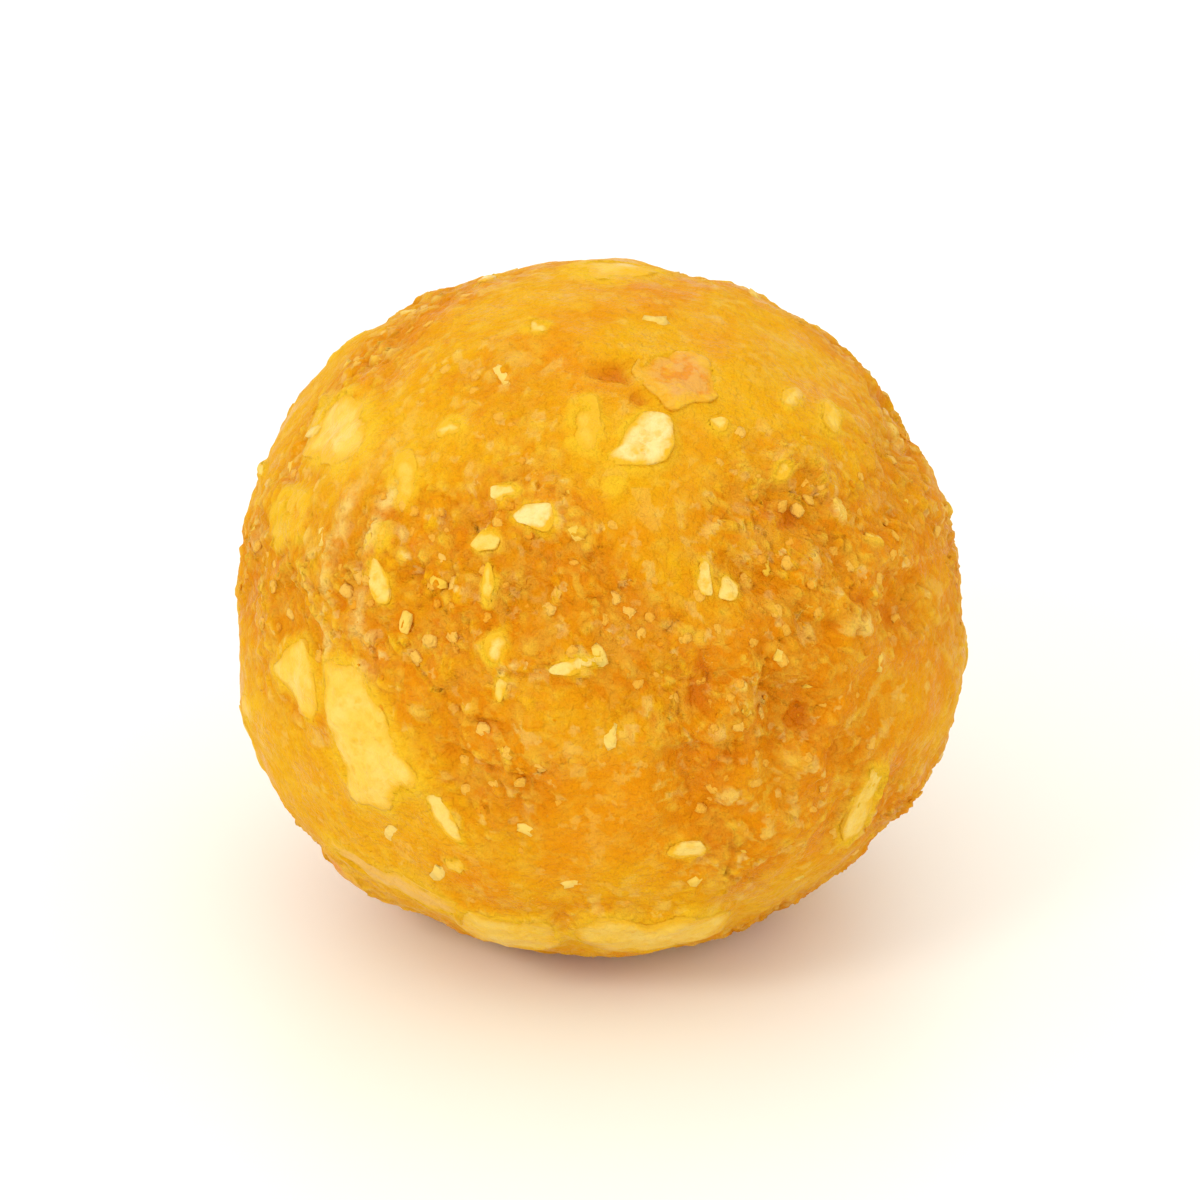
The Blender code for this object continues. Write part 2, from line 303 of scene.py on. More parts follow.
def chipCorners(chip, rng):
    if chip["corners"]:
        return [(x * mm, y * mm) for x, y in chip["corners"]]
    count = rng.choice(chipMaking["cornerCounts"])
    stray = chipMaking["cornerStray"]
    corners = []
    for k in range(count):
        angle = 2 * math.pi * (k + rng.uniform(-stray, stray)) / count
        reach = rng.uniform(*chipMaking["cornerReach"]) / 2 * mm
        corners.append((math.cos(angle) * reach * chip["long"], math.sin(angle) * reach * chip["wide"]))
    return corners


def outlineReach(corners, count):
    ring = sorted(corners, key=lambda c: math.atan2(c[1], c[0]))
    angles = np.linspace(-math.pi, math.pi, count, endpoint=False)
    reach = np.full(count, np.inf)
    rays = np.stack((np.cos(angles), np.sin(angles)), axis=1)
    for (ax, ay), (bx, by) in zip(ring, ring[1:] + ring[:1]):
        pastFirst = ax * rays[:, 1] - ay * rays[:, 0] >= 0
        beforeNext = rays[:, 0] * by - rays[:, 1] * bx >= 0
        facing = rays[:, 0] * (by - ay) - rays[:, 1] * (bx - ax)
        hits = pastFirst & beforeNext
        reach[hits] = (ax * by - ay * bx) / facing[hits]
    soft = sum(np.roll(reach, k) for k in (-1, 0, 1)) / 3  # takes the points off the corners
    return angles, soft


def aimsOf(chip, x, y):
    aims = chip["aim"] * ball["halfWidth"] + np.outer(x, chip["along"]) + np.outer(y, chip["across"])
    return aims / np.linalg.norm(aims, axis=1)[:, None]


def shapeChip(chip, rng):
    azimuth = math.radians(chip["azimuth"])
    turn = math.radians(chip["turn"])
    chip["aim"] = towards(chip["azimuth"], chip["latitude"])
    east = np.array((math.cos(azimuth), math.sin(azimuth), 0))
    north = np.cross(chip["aim"], east)
    chip["along"] = east * math.cos(turn) + north * math.sin(turn)
    chip["across"] = north * math.cos(turn) - east * math.sin(turn)
    chip["angles"], reach = outlineReach(chipCorners(chip, rng), chipMaking["spokes"])
    rim = aimsOf(chip, np.cos(chip["angles"]) * reach, np.sin(chip["angles"]) * reach)
    wander = perlin(rim, chipMaking["chippedSize"], (3, 1, 8)) * chipMaking["chipped"]
    chip["reach"] = reach + wander * np.sqrt(reach)
    chip["size"] = chip["reach"].mean()
    chip["lean"] = [rng.uniform(-most, most) for most in chipMaking["lean"]]


def chipShare(chip, aims):  # 0 at a chip's middle and 1 on its outline, and the outline's reach there
    facing = aims @ chip["aim"]
    flat = aims * (ball["halfWidth"] / np.clip(facing, leastFacing, 1)[:, None])
    x = flat @ chip["along"]
    y = flat @ chip["across"]
    reach = np.interp(np.arctan2(y, x), chip["angles"], chip["reach"], period=2 * math.pi)
    return np.where(facing > leastFacing, np.hypot(x, y) / reach, farOff), reach


def raggedness(aims):
    wide, fine = doughOverNut["raggedSizes"]
    return perlin(aims, wide, (2, 6, 1)) + doughOverNut["raggedFine"] * perlin(aims, fine, (7, 2, 9))


def bareness(chip, share, reach, ragged):  # in metres, over 0 where a nut's face is free of dough
    return (chip["bare"] - share) * reach + doughOverNut["ragged"] * ragged


def chipCrown(chip, share):
    return chip["proud"] * mm * (1 - chipMaking["crown"] * np.minimum(share, chipMaking["crownEnd"]) ** 3)


# Least is the share of a relief, or of the painted shade in its gaps, that pressed skin keeps. From is the
# crumbliness where a relief starts and where it is whole.
skinGrain = {
    "roughness": 0.36,  # of the skin between the patches, 0 smooth and 1 crumbly
    "patchSize": 7.0 * mm,
    "patchContrast": 0.85,
    "crumblyMore": 0.5,
    "pressedLess": 0.75,
    "crumbSize": 0.8 * mm,
    "crumbHeight": 0.2 * mm,
    "crumbFoot": 0.6,
    "crumbGap": 0.55,
    "crumbWarp": 0.9,
    "crumbWarpSize": 1.6 * mm,
    "crumbTones": (12.9898, 78.233, 37.719, 437.585),  # scrambles a crumb's place to a tone
    "pressedHeight": 0.03 * mm,
    "wrinkleSize": 1.5 * mm,
    "wrinkleHeight": 0.11 * mm,
    "wrinkleLeast": 0.3,
    "grainSize": 0.66 * mm,
    "grainHeight": 0.1 * mm,
    "grainLeast": 0.4,
    "flakeSize": 3.0 * mm,
    "flakeHeight": 0.34 * mm,
    "flakeEdge": 0.07,
    "flakeWrinkle": 0.35,
    "flakeFrom": (0.3, 0.8),
    "crackSize": 4.2 * mm,
    "crackDepth": 0.22 * mm,
    "crackWidth": 0.035,
    "crackFrom": (0.35, 0.7),
    "hollowRagged": 0.9,
    "hollowEdge": (0.3, 1.3),
    "hollowSeed": 1,
    "fullShadeDepth": 0.36,  # depth of a hollow with the full painted shade, in millimetres
    "gapShadeLeast": 0.2,
    "plateEdgeShade": 0.5,
}
pressedPatches = (
    area(-4, -12, spread=17),
    area(-8, 76, spread=20),
    area(-62, -12, spread=13),
    area(62, -8, spread=12),
    area(172, 38, spread=20),
    area(108, -14, spread=16),
)
crumblyPatches = torn["patches"] + (
    area(-12, 22, spread=17),
    area(38, 26, spread=18),
    area(-42, 14, spread=17),
    area(-16, -2, spread=12),
    area(-88, 6, spread=15),
    area(96, 34, spread=16),
)


def hollow(azimuth, latitude, turn, **size):  # a narrow cleft, darkened with painted shade, in millimetres
    return {"azimuth": azimuth, "latitude": latitude, "turn": turn, "corners": (), **size}


hollows = (
    hollow(16, 13, -86, long=5.4, wide=1.5, depth=0.24),
    hollow(19, 1, 24, long=3.0, wide=1.5, depth=0.22),
    hollow(33, 6, -84, long=4.2, wide=1.5, depth=0.25),
    hollow(36, -2, -30, long=3.2, wide=1.5, depth=0.22),
    hollow(48, 18, -28, long=4.8, wide=1.6, depth=0.25),
    hollow(36, 36, -30, long=3.2, wide=1.7, depth=0.2),
    hollow(8, 65, -20, long=4.6, wide=3.0, depth=0.36),
    hollow(16, -14, 30, long=2.2, wide=1.2, depth=0.2),
    hollow(140, 8, 30, long=5.4, wide=1.5, depth=0.28),
    hollow(160, -14, -50, long=4.0, wide=1.4, depth=0.25),
    hollow(-104, 18, -50, long=4.6, wide=1.4, depth=0.25),
    hollow(-150, -20, 12, long=5.0, wide=1.4, depth=0.25),
    hollow(-132, 10, 70, long=3.6, wide=1.4, depth=0.25),
    hollow(92, 30, -12, long=4.4, wide=1.4, depth=0.25),
)
warmPatches = (  # where the dough is more orange, or paler where the share is under 0
    area(12, -8, spread=30, share=0.5),
    area(40, 4, spread=24, share=0.35),
    area(-55, 28, spread=34, share=-0.6),
    area(0, 40, spread=30, share=-0.35),
    area(62, 50, spread=24, share=-0.35),
    area(-50, -24, spread=26, share=-0.75),
    area(6, -38, spread=20, share=-0.5),
    area(150, 12, spread=34, share=0.4),
    area(-125, 15, spread=32, share=-0.4),
    area(100, -14, spread=28, share=-0.35),
    area(-150, -24, spread=26, share=0.3),
    area(170, 60, spread=28, share=-0.3),
)
palmCreases = {  # thin pale arcs that the palm left, round one direction
    "round": (0, 26),
    "arcs": (38, 45),
    "from": 136,
    "to": 200,
    "width": 1.3,
    "height": 0.08 * mm,
    "fade": 12,  # degrees over which an arc starts and ends
    "bend": 1.8,
    "bendSize": 5.0 * mm,
    "patchSize": 1.8 * mm,
    "patchEdge": (-0.3, 0.15),
}
warmTone = {
    "middle": 0.5,
    "wideSize": 6.5 * mm,
    "wide": 0.9,
    "fineSize": 2.6 * mm,
    "fine": 0.5,
    "edge": (0.1, 1.0),
}


def crumbliness(aims):
    grain = skinGrain
    field = grain["roughness"] + grain["patchContrast"] * perlin(aims, grain["patchSize"], (3.1, 8.8, 2.2))
    for patch in crumblyPatches:
        field += grain["crumblyMore"] * nearness(aims, patch)
    for patch in pressedPatches:
        field -= grain["pressedLess"] * nearness(aims, patch)
    return np.clip(field, 0, 1)


def warmth(aims):  # 0 pale gold and 1 orange
    field = warmTone["middle"] + warmTone["wide"] * perlin(aims, warmTone["wideSize"], (4, 9, 6))
    field += warmTone["fine"] * perlin(aims, warmTone["fineSize"], (8, 5, 2))
    for patch in warmPatches:
        field += nearness(aims, patch) * patch["share"]
    return softStep(field, *warmTone["edge"])


def crumbCells(aims):  # 1 on a crumb's crown and 0 between crumbs, and a tone for each crumb
    points = aims * (ball["halfWidth"] / skinGrain["crumbSize"])
    warp = np.stack([perlin(aims, skinGrain["crumbWarpSize"], (k * 17.0, 3, 5)) for k in range(3)], axis=1)
    gaps = []
    seeds = []
    for p in (points + skinGrain["crumbWarp"] * warp).tolist():
        distances, nearest = noise.voronoi(p)
        gaps.append(distances[1] - distances[0])
        seeds.append(tuple(nearest[0]))
    *weights, spread = skinGrain["crumbTones"]
    tones = np.abs(np.sin(np.array(seeds) @ weights) * spread) % 1
    return softStep(np.array(gaps), 0.0, skinGrain["crumbGap"]), tones


def creases(aims):
    palm = palmCreases
    pole = towards(*palm["round"])
    right = np.array((1.0, 0, 0))
    up = np.cross(right, -pole)
    away = np.degrees(np.arccos(np.clip(aims @ pole, -1, 1)))
    around = np.degrees(np.arctan2(aims @ up, aims @ right)) % 360
    window = softStep(around, palm["from"], palm["from"] + palm["fade"])
    window *= 1 - softStep(around, palm["to"] - palm["fade"], palm["to"])
    away += palm["bend"] * perlin(aims, palm["bendSize"], (1, 2, 3))
    lines = sum(np.exp(-(((away - arc) / palm["width"]) ** 2)) for arc in palm["arcs"])
    return lines * window * softStep(perlin(aims, palm["patchSize"], (9, 9, 2)), *palm["patchEdge"])


def crumbRelief(aims, crumbly):
    relief = skinGrain
    cells, tones = crumbCells(aims)
    height = (cells - relief["crumbFoot"]) * (relief["pressedHeight"] + crumbly * relief["crumbHeight"])
    height += (tones - 0.5) * crumbly * cells * relief["crumbHeight"]
    wrinkle = perlin(aims, relief["wrinkleSize"], (5, 0, 9))
    height += wrinkle * relief["wrinkleHeight"] * (relief["wrinkleLeast"] + crumbly)
    grain = perlin(aims, relief["grainSize"], (1, 7, 3))
    height += grain * relief["grainHeight"] * (relief["grainLeast"] + crumbly)
    flakes = perlin(aims, relief["flakeSize"], (6, 3, 2)) + relief["flakeWrinkle"] * wrinkle
    plate = softStep(flakes, -relief["flakeEdge"], relief["flakeEdge"])
    height += (plate - 0.5) * relief["flakeHeight"] * softStep(crumbly, *relief["flakeFrom"])
    ridge = np.abs(perlin(aims, relief["crackSize"], (11, 4, 7)))
    crack = (1 - softStep(ridge, 0, relief["crackWidth"])) * softStep(crumbly, *relief["crackFrom"])
    height -= crack * relief["crackDepth"]
    # painted shade: this field darkens the skin between crumbs, along cracks and at plate edges, where shade
    # falls
    gapShade = (1 - cells) * (relief["gapShadeLeast"] + (1 - relief["gapShadeLeast"]) * crumbly)
    gapShade = np.clip(gapShade + crack + relief["plateEdgeShade"] * (1 - plate) * crumbly, 0, 1)
    return height, tones, gapShade


def skinFields(aims, chips):
    over = doughOverNut
    crumbly = crumbliness(aims)
    height, grain, gapShade = crumbRelief(aims, crumbly)
    ragged = raggedness(aims)
    hollowShading = np.zeros(len(aims))
    for dent in hollows:
        shapeChip(dent, random.Random(skinGrain["hollowSeed"]))
        within = chipShare(dent, aims)[0] + skinGrain["hollowRagged"] * ragged
        sunk = 1 - softStep(within, *skinGrain["hollowEdge"])
        # painted shade: each hollow is coloured darker by its depth, where shade would fall
        hollowShading = np.maximum(hollowShading, sunk * dent["depth"] / skinGrain["fullShadeDepth"])
        height -= sunk * dent["depth"] * mm
    lines = creases(aims)
    height += lines * palmCreases["height"]
    shine = np.zeros(len(aims))
    bare = np.zeros(len(aims))
    for chip in chips:
        share, reach = chipShare(chip, aims)
        outside = (share - 1) * reach  # in metres from the nut's outline
        lip = 1 - softStep(outside, 0, over["lipLeast"] + over["lipShare"] * chip["size"])
        free = softStep(bareness(chip, share, reach, ragged), *over["freeEdge"])
        bared = free * (1 - softStep(outside, *over["rimEdge"]))
        rise = chipCrown(chip, share) + over["film"] - free * over["step"]
        height = height * (1 - over["lipSmooths"] * lip) + lip * rise - bared * over["socket"]
        shineEnd = over["shineLeast"] + over["shineShare"] * chip["size"]
        glow = 1 - softStep(outside + shineEnd * ragged / 2, over["shineInside"], shineEnd)
        leastShine, moreShine = over["shineByTone"]
        shine = np.maximum(shine, glow * min(1, leastShine + moreShine * chip["tone"]))
        bare = np.maximum(bare, bared)
        hollowShading *= 1 - lip
    fields = {
        "crumbly": crumbly,
        "warm": warmth(aims),
        "grain": grain,
        # painted shade in the gaps, left off where a nut shows through
        "gapShade": gapShade * (1 - shine),
        # painted shade in the hollows
        "hollow": hollowShading,
        "shine": shine,
        "bare": bare,
        "crease": np.clip(lines, 0, 1),
    }
    return height, fields


def newObject(name, mesh):
    piece = bpy.data.objects.new(name, mesh)
    bpy.context.scene.collection.objects.link(piece)
    return piece


def storeField(mesh, name, values):
    layer = mesh.attributes.new(name, "FLOAT", "POINT")
    layer.data.foreach_set("value", np.asarray(values, np.float32))


def readField(mesh, name):
    values = np.zeros(len(mesh.vertices), np.float32)
    mesh.attributes[name].data.foreach_get("value", values)
    return values


strewn = {  # where the crumbs and nut bits lie
    "height": (1.5 * mm, 3.5 * mm),  # over the floor, from none to all of them
    "bitsLeast": 0.2,  # share of the bits on pressed skin
    "crumbsPower": 1.5,
}


def makeDough(chips):
    bm = bmesh.new()
    bmesh.ops.create_cube(bm, size=2)
    bmesh.ops.subdivide_edges(bm, edges=bm.edges, cuts=ball["cellsPerSide"] - 1, use_grid_fill=True)
    bm.verts.ensure_lookup_table()
    cube = np.array([v.co for v in bm.verts])
    aims = np.tan(cube * math.pi / 4)  # keeps the squares alike in size
    aims /= np.linalg.norm(aims, axis=1)[:, None]
    height, fields = skinFields(aims, chips)
    latitude = np.degrees(np.arcsin(aims[:, 2]))
    height *= softStep(latitude, ball["grainAbove"], ball["roughAbove"])  # pressed flat underneath
    places = middle + aims * (formReach(aims) + height)[:, None]
    layers = {name: bm.verts.layers.float.new(name) for name in fields}
    for k, vert in enumerate(bm.verts):
        vert.co = places[k]
        for name, layer in layers.items():
            vert[layer] = fields[name][k]
    everything = bm.verts[:] + bm.edges[:] + bm.faces[:]
    floorPlane = {"plane_co": (0, 0, 0), "plane_no": (0, 0, 1)}
    bmesh.ops.bisect_plane(bm, geom=everything, dist=1e-8, clear_inner=True, **floorPlane)
    bmesh.ops.contextual_create(bm, geom=[edge for edge in bm.edges if edge.is_boundary])
    bmesh.ops.recalc_face_normals(bm, faces=bm.faces)
    mesh = bpy.data.meshes.new("dough")
    bm.to_mesh(mesh)
    bm.free()
    mesh.shade_smooth()
    heights = np.zeros(len(mesh.vertices) * 3, np.float32)
    mesh.vertices.foreach_get("co", heights)
    free = softStep(heights[2::3], *strewn["height"]) * (1 - readField(mesh, "bare"))
    crumbly = readField(mesh, "crumbly")
    storeField(mesh, "bitsHere", free * (strewn["bitsLeast"] + (1 - strewn["bitsLeast"]) * crumbly))
    storeField(mesh, "crumbsHere", free * (1 - readField(mesh, "shine")) * crumbly ** strewn["crumbsPower"])
    return newObject("dough", mesh)


def chipRows(chip):  # rings of points from the crown out to the rim and down to the root
    making = chipMaking
    levels = [(share, None) for share in making["rings"]]
    levels += making["rootRings"]
    for share, depth in levels:
        x = np.cos(chip["angles"]) * chip["reach"] * share
        y = np.sin(chip["angles"]) * chip["reach"] * share
        aims = aimsOf(chip, x, y)
        height = np.full(len(x), depth)
        film = np.ones(len(x))
        if depth is None:
            rough = perlin(aims, making["facetSize"], (4, 4, chip["turn"])) * making["facet"]
            rough += perlin(aims, making["fibreSize"], (8, chip["turn"], 1)) * making["fibre"]
            height = chipCrown(chip, share) + chip["lean"][0] * x + chip["lean"][1] * y + rough
            free = bareness(chip, share, chip["reach"], raggedness(aims))
            film = 1 - softStep(free, 0, making["filmLeast"] + making["filmShare"] * chip["size"])
        places = middle + aims * (formReach(aims) + height)[:, None]
        places[:, 2] = np.maximum(places[:, 2], making["clearance"])
        yield places, film


def makeNutChips(chips):
    vertices = []
    faces = []
    tones = []
    films = []
    for chip in chips:
        rows = list(chipRows(chip))
        count = chipMaking["spokes"]
        first = len(vertices)
        for places, film in rows:
            vertices += [tuple(p) for p in places]
            films += list(film)
        top = len(vertices)
        vertices += [tuple(rows[0][0].mean(axis=0)), tuple(rows[-1][0].mean(axis=0))]
        films += [rows[0][1].mean(), 1.0]
        tones += [chip["tone"]] * (count * len(rows) + 2)
        for k in range(count):
            n = (k + 1) % count
            faces.append((top, first + k, first + n))
            for row in range(len(rows) - 1):
                a = first + row * count
                b = a + count
                faces.append((a + k, b + k, b + n, a + n))
            last = first + (len(rows) - 1) * count
            faces.append((top + 1, last + n, last + k))
    mesh = bpy.data.meshes.new("nutChips")
    mesh.from_pydata(vertices, [], faces)
    storeField(mesh, "tone", tones)
    storeField(mesh, "film", films)
    mesh.shade_smooth()
    mesh.update()
    return newObject("nutChips", mesh)


scatterSorts = {  # crumbs and small nut bits strewn over the skin
    "doughCrumbs": {
        "shape": "crumbShape", "mask": "crumbsHere", "spacing": 0.66 * mm, "density": 850000.0,
        "smallest": 0.16 * mm, "largest": 0.42 * mm, "sink": 0.08 * mm, "tilt": 0.25,
        "dullest": 0.0, "palest": 0.78, "seed": 21,
    },
    "nutBits": {
        "shape": "bitShape", "mask": "bitsHere", "spacing": 2.3 * mm, "density": 45000.0,
        "smallest": 0.25 * mm, "largest": 0.6 * mm, "sink": 0.13 * mm, "tilt": 0.2,
        "dullest": 0.42, "palest": 0.82, "seed": 34,
    },
}


def lumpShape(name, stretch, rounding, jag, seed, side=1.6):  # a broken grain of about unit size
    bm = bmesh.new()
    bmesh.ops.create_cube(bm, size=side)
    bmesh.ops.subdivide_edges(bm, edges=bm.edges, cuts=1, use_grid_fill=True)
    rng = random.Random(seed)
    for vert in bm.verts:
        vert.co = vert.co.lerp(vert.co.normalized(), rounding) * (1 + rng.uniform(-jag, jag))
        vert.co *= Vector(stretch)
    mesh = bpy.data.meshes.new(name)
    bm.to_mesh(mesh)
    bm.free()
    mesh.shade_smooth()
    return newObject(name, mesh)


def addNode(tree, kind, inputs=None, **settings):
    node = tree.nodes.new(kind)
    for name, value in settings.items():
        setattr(node, name, value)
    for name, value in (inputs or {}).items():
        if isinstance(value, bpy.types.NodeSocket):
            tree.links.new(value, node.inputs[name])
        else:
            node.inputs[name].default_value = value
    return node


def buildScatterTree(mask):
    tree = bpy.data.node_groups.new("scatterOverSkin", "GeometryNodeTree")
    wanted = {
        "Skin": "Object", "Shape": "Object", "Spacing": "Float", "Density": "Float", "Smallest": "Float",
        "Largest": "Float", "Sink": "Float", "Tilt": "Float", "Dullest": "Float", "Palest": "Float",
        "Seed": "Int", "Finish": "Material",
    }
    tree.interface.new_socket("Geometry", in_out="INPUT", socket_type="NodeSocketGeometry")
    for name, kind in wanted.items():
        tree.interface.new_socket(name, in_out="INPUT", socket_type="NodeSocket" + kind)
    tree.interface.new_socket("Geometry", in_out="OUTPUT", socket_type="NodeSocketGeometry")
    given = addNode(tree, "NodeGroupInput").outputs
    skin = addNode(tree, "GeometryNodeObjectInfo", {"Object": given["Skin"]})
    shape = addNode(tree, "GeometryNodeObjectInfo", {"Object": given["Shape"]})
    share = addNode(tree, "GeometryNodeInputNamedAttribute", {"Name": mask}, data_type="FLOAT")
    points = addNode(tree, "GeometryNodeDistributePointsOnFaces", {
        "Mesh": skin.outputs["Geometry"],
        "Distance Min": given["Spacing"],
        "Density Max": given["Density"],
        "Density Factor": share.outputs["Attribute"],
        "Seed": given["Seed"],
    }, distribute_method="POISSON")
    down = addNode(tree, "ShaderNodeMath", {0: given["Sink"], 1: -1.0}, operation="MULTIPLY")
    shift = addNode(tree, "ShaderNodeVectorMath", {
        0: points.outputs["Normal"], "Scale": down.outputs[0],
    }, operation="SCALE")
    sunk = addNode(tree, "GeometryNodeSetPosition", {
        "Geometry": points.outputs["Points"], "Offset": shift.outputs[0],
    })
    size = addNode(tree, "FunctionNodeRandomValue", {
        "Min": given["Smallest"], "Max": given["Largest"], "Seed": given["Seed"],
    }, data_type="FLOAT")
    placed = addNode(tree, "GeometryNodeInstanceOnPoints", {
        "Points": sunk.outputs["Geometry"],
        "Instance": shape.outputs["Geometry"],
        "Rotation": points.outputs["Rotation"],
        "Scale": size.outputs["Value"],
    })
    lowTilt = addNode(tree, "ShaderNodeMath", {0: given["Tilt"], 1: -1.0}, operation="MULTIPLY")
    lowTurn = addNode(tree, "ShaderNodeCombineXYZ", {
        "X": lowTilt.outputs[0], "Y": lowTilt.outputs[0], "Z": -math.pi,
    })
    highTurn = addNode(tree, "ShaderNodeCombineXYZ", {"X": given["Tilt"], "Y": given["Tilt"], "Z": math.pi})
    turn = addNode(tree, "FunctionNodeRandomValue", {
        "Min": lowTurn.outputs[0], "Max": highTurn.outputs[0], "Seed": given["Seed"],
    }, data_type="FLOAT_VECTOR")
    turned = addNode(tree, "GeometryNodeRotateInstances", {
        "Instances": placed.outputs["Instances"], "Rotation": turn.outputs["Value"], "Local Space": True,
    })
    tone = addNode(tree, "FunctionNodeRandomValue", {
        "Min": given["Dullest"], "Max": given["Palest"], "Seed": given["Seed"],
    }, data_type="FLOAT")
    toned = addNode(tree, "GeometryNodeStoreNamedAttribute", {
        "Geometry": turned.outputs["Instances"], "Name": "tone", "Value": tone.outputs["Value"],
    }, data_type="FLOAT", domain="INSTANCE")
    real = addNode(tree, "GeometryNodeRealizeInstances", {"Geometry": toned.outputs["Geometry"]})
    coated = addNode(tree, "GeometryNodeSetMaterial", {
        "Geometry": real.outputs["Geometry"], "Material": given["Finish"],
    })
    addNode(tree, "NodeGroupOutput", {"Geometry": coated.outputs["Geometry"]})
    return tree


def scatter(name, skin, finish):
    sort = scatterSorts[name]
    tree = buildScatterTree(sort["mask"])
    piece = newObject(name, bpy.data.meshes.new(name + "Start"))
    modifier = piece.modifiers.new("scatter", "NODES")
    modifier.node_group = tree
    values = {label.capitalize(): value for label, value in sort.items()}
    values |= {"Skin": skin, "Shape": bpy.data.objects[sort["shape"]], "Finish": finish}
    for item in tree.interface.items_tree:
        if item.item_type == "SOCKET" and item.in_out == "INPUT" and item.name in values:
            modifier[item.identifier] = values[item.name]
    graph = bpy.context.evaluated_depsgraph_get()
    made = bpy.data.meshes.new_from_object(piece.evaluated_get(graph))
    piece.modifiers.clear()
    piece.data = made
    made.name = name
    print(name, len(made.polygons), "faces")
    return piece


doughFinish = {
    "golden": (0.77, 0.385, 0.003, 1),
    "orange": (0.74, 0.268, 0.0, 1),
    "paleCrumb": (0.79, 0.465, 0.032, 1),
    "peachCrumb": (0.81, 0.42, 0.045, 1),
    "tanCrumb": (0.71, 0.31, 0.016, 1),
    "creamSpeck": (0.83, 0.56, 0.14, 1),
    # a dark orange painted shade for gaps, cracks and hollows
    "paintedShade": (0.62, 0.17, 0.0, 1),
    "shine": (0.80, 0.46, 0.014, 1),  # where a nut shows through
    "blotchSize": 2.2,
    "mottleSize": 1.1,
    "speckSize": 0.62,
    "speckWarp": 1.2,
    "pimpleSize": 0.42,
    # Each tint has a colour, its greatest share, and the value where it starts and where it is whole.
    "blotchTints": (("paleCrumb", 1.0, 0.48, 0.72),),
    "grainTints": (
        ("orange", 1.0, 0.3, 0.08), ("paleCrumb", 1.0, 0.55, 0.8), ("creamSpeck", 0.75, 0.84, 0.96),
    ),
    "mottleTints": (("paleCrumb", 1.0, 0.48, 0.7), ("orange", 1.0, 0.48, 0.3)),
    "speckTints": (
        ("tanCrumb", 1.0, 0.35, 0.1), ("paleCrumb", 1.0, 0.6, 0.8), ("creamSpeck", 1.0, 0.86, 0.95),
    ),
    "crumbTints": (("peachCrumb", 1.0, 0.1, 0.7), ("creamSpeck", 0.7, 0.6, 0.95)),
    "tintLeast": 0.2,  # share of the tints that pressed skin keeps
    "mottleLeast": 0.22,
    "mottleMore": 0.4,
    # strength of the painted shade between crumbs, in cracks and at plate edges
    "gapShadeStrength": 0.6,
    # strength of the painted shade in hollows
    "hollowShadeStrength": 0.8,
    "shinePatches": (0.2, 0.62),
    "creasePatches": (0.25, 0.7),
    "specular": 0.06,
    "subsurface": 0.12,
    "radius": (1.0, 0.6, 0.25),
    "depth": 0.0005,
    "wet": 0.34,
    "dry": 0.62,
    "coat": 0.13,
}
nutFinish = {
    "tones": (
        (0.0, (0.73, 0.34, 0.045, 1)),
        (0.3, (0.78, 0.44, 0.09, 1)),
        (0.5, (0.80, 0.46, 0.025, 1)),
        (0.65, (0.83, 0.53, 0.06, 1)),
        (0.85, (0.85, 0.60, 0.15, 1)),
        (1.0, (0.87, 0.68, 0.27, 1)),
    ),
    "fresh": (0.85, 0.63, 0.18, 1),
    "freshShare": 0.45,
    "freshPatches": (0.42, 0.68),
    "freshTones": (0.5, 0.65),
    "stain": (0.79, 0.43, 0.012, 1),
    "stainTones": (-0.6, 0.5),
    "wornShare": 0.5,
    "wornPatches": (0.46, 0.7),
    "wornTones": (0.1, 0.4),
    "dustShare": 0.5,
    "dustSpecks": (0.6, 0.85),
    "redSkin": (0.73, 0.26, 0.006, 1),  # on the tan pieces
    "redTones": (0.3, 0.1),
    "redPatches": (0.56, 0.42),
    "patchSize": 2.2,
    "grainSize": 0.8,
    "speckSize": 0.6,
    "speckWarp": 1.0,
    "specular": 0.15,
    "subsurface": 0.12,
    "radius": (1.0, 0.7, 0.4),
    "depth": 0.0003,
    "wet": 0.32,
    "dry": 0.55,
    "coat": 0.25,
}
gheeLook = {
    "size": 2.4,
    "patches": (0.45, 0.68),
    "coatRoughness": 0.2,
    "coatIor": 1.35,
}
specks = {
    "wobble": 1.6,
    "edge": (0.15, 0.7),
}
pimples = {
    "strength": 0.8,
    "distance": 0.00045,
}


def mixColour(tree, share, first, second):  # by number, because the node's socket names repeat
    node = addNode(tree, "ShaderNodeMix", {0: share, 6: first, 7: second}, data_type="RGBA")
    return node.outputs[2]


def maths(tree, operation, first, second=0.0, clamp=False):
    node = addNode(tree, "ShaderNodeMath", {0: first, 1: second}, operation=operation, use_clamp=clamp)
    return node.outputs[0]


def between(tree, value, low, high):  # 0 below low and 1 above high
    node = addNode(tree, "ShaderNodeMapRange", {
        "Value": value, "From Min": low, "From Max": high,
    }, interpolation_type="SMOOTHSTEP")
    return node.outputs[0]


def newGroup(name, inputs, outputs):
    group = bpy.data.node_groups.new(name, "ShaderNodeTree")
    for label in inputs:
        group.interface.new_socket(label, in_out="INPUT", socket_type="NodeSocketFloat")
    for label in outputs:
        group.interface.new_socket(label, in_out="OUTPUT", socket_type="NodeSocketFloat")
    return group


def millimetres(tree, size):  # object coordinates measured in cells of one size
    place = addNode(tree, "ShaderNodeTexCoord").outputs["Object"]
    scale = maths(tree, "DIVIDE", perMillimetre, size)
    return addNode(tree, "ShaderNodeVectorMath", {0: place, "Scale": scale}, operation="SCALE").outputs[0]


def mottle(tree, size, detail):
    return addNode(tree, "ShaderNodeTexNoise", {
        "Vector": millimetres(tree, size), "Scale": 1.0, "Detail": detail, "Roughness": 0.6,
    }).outputs[0]


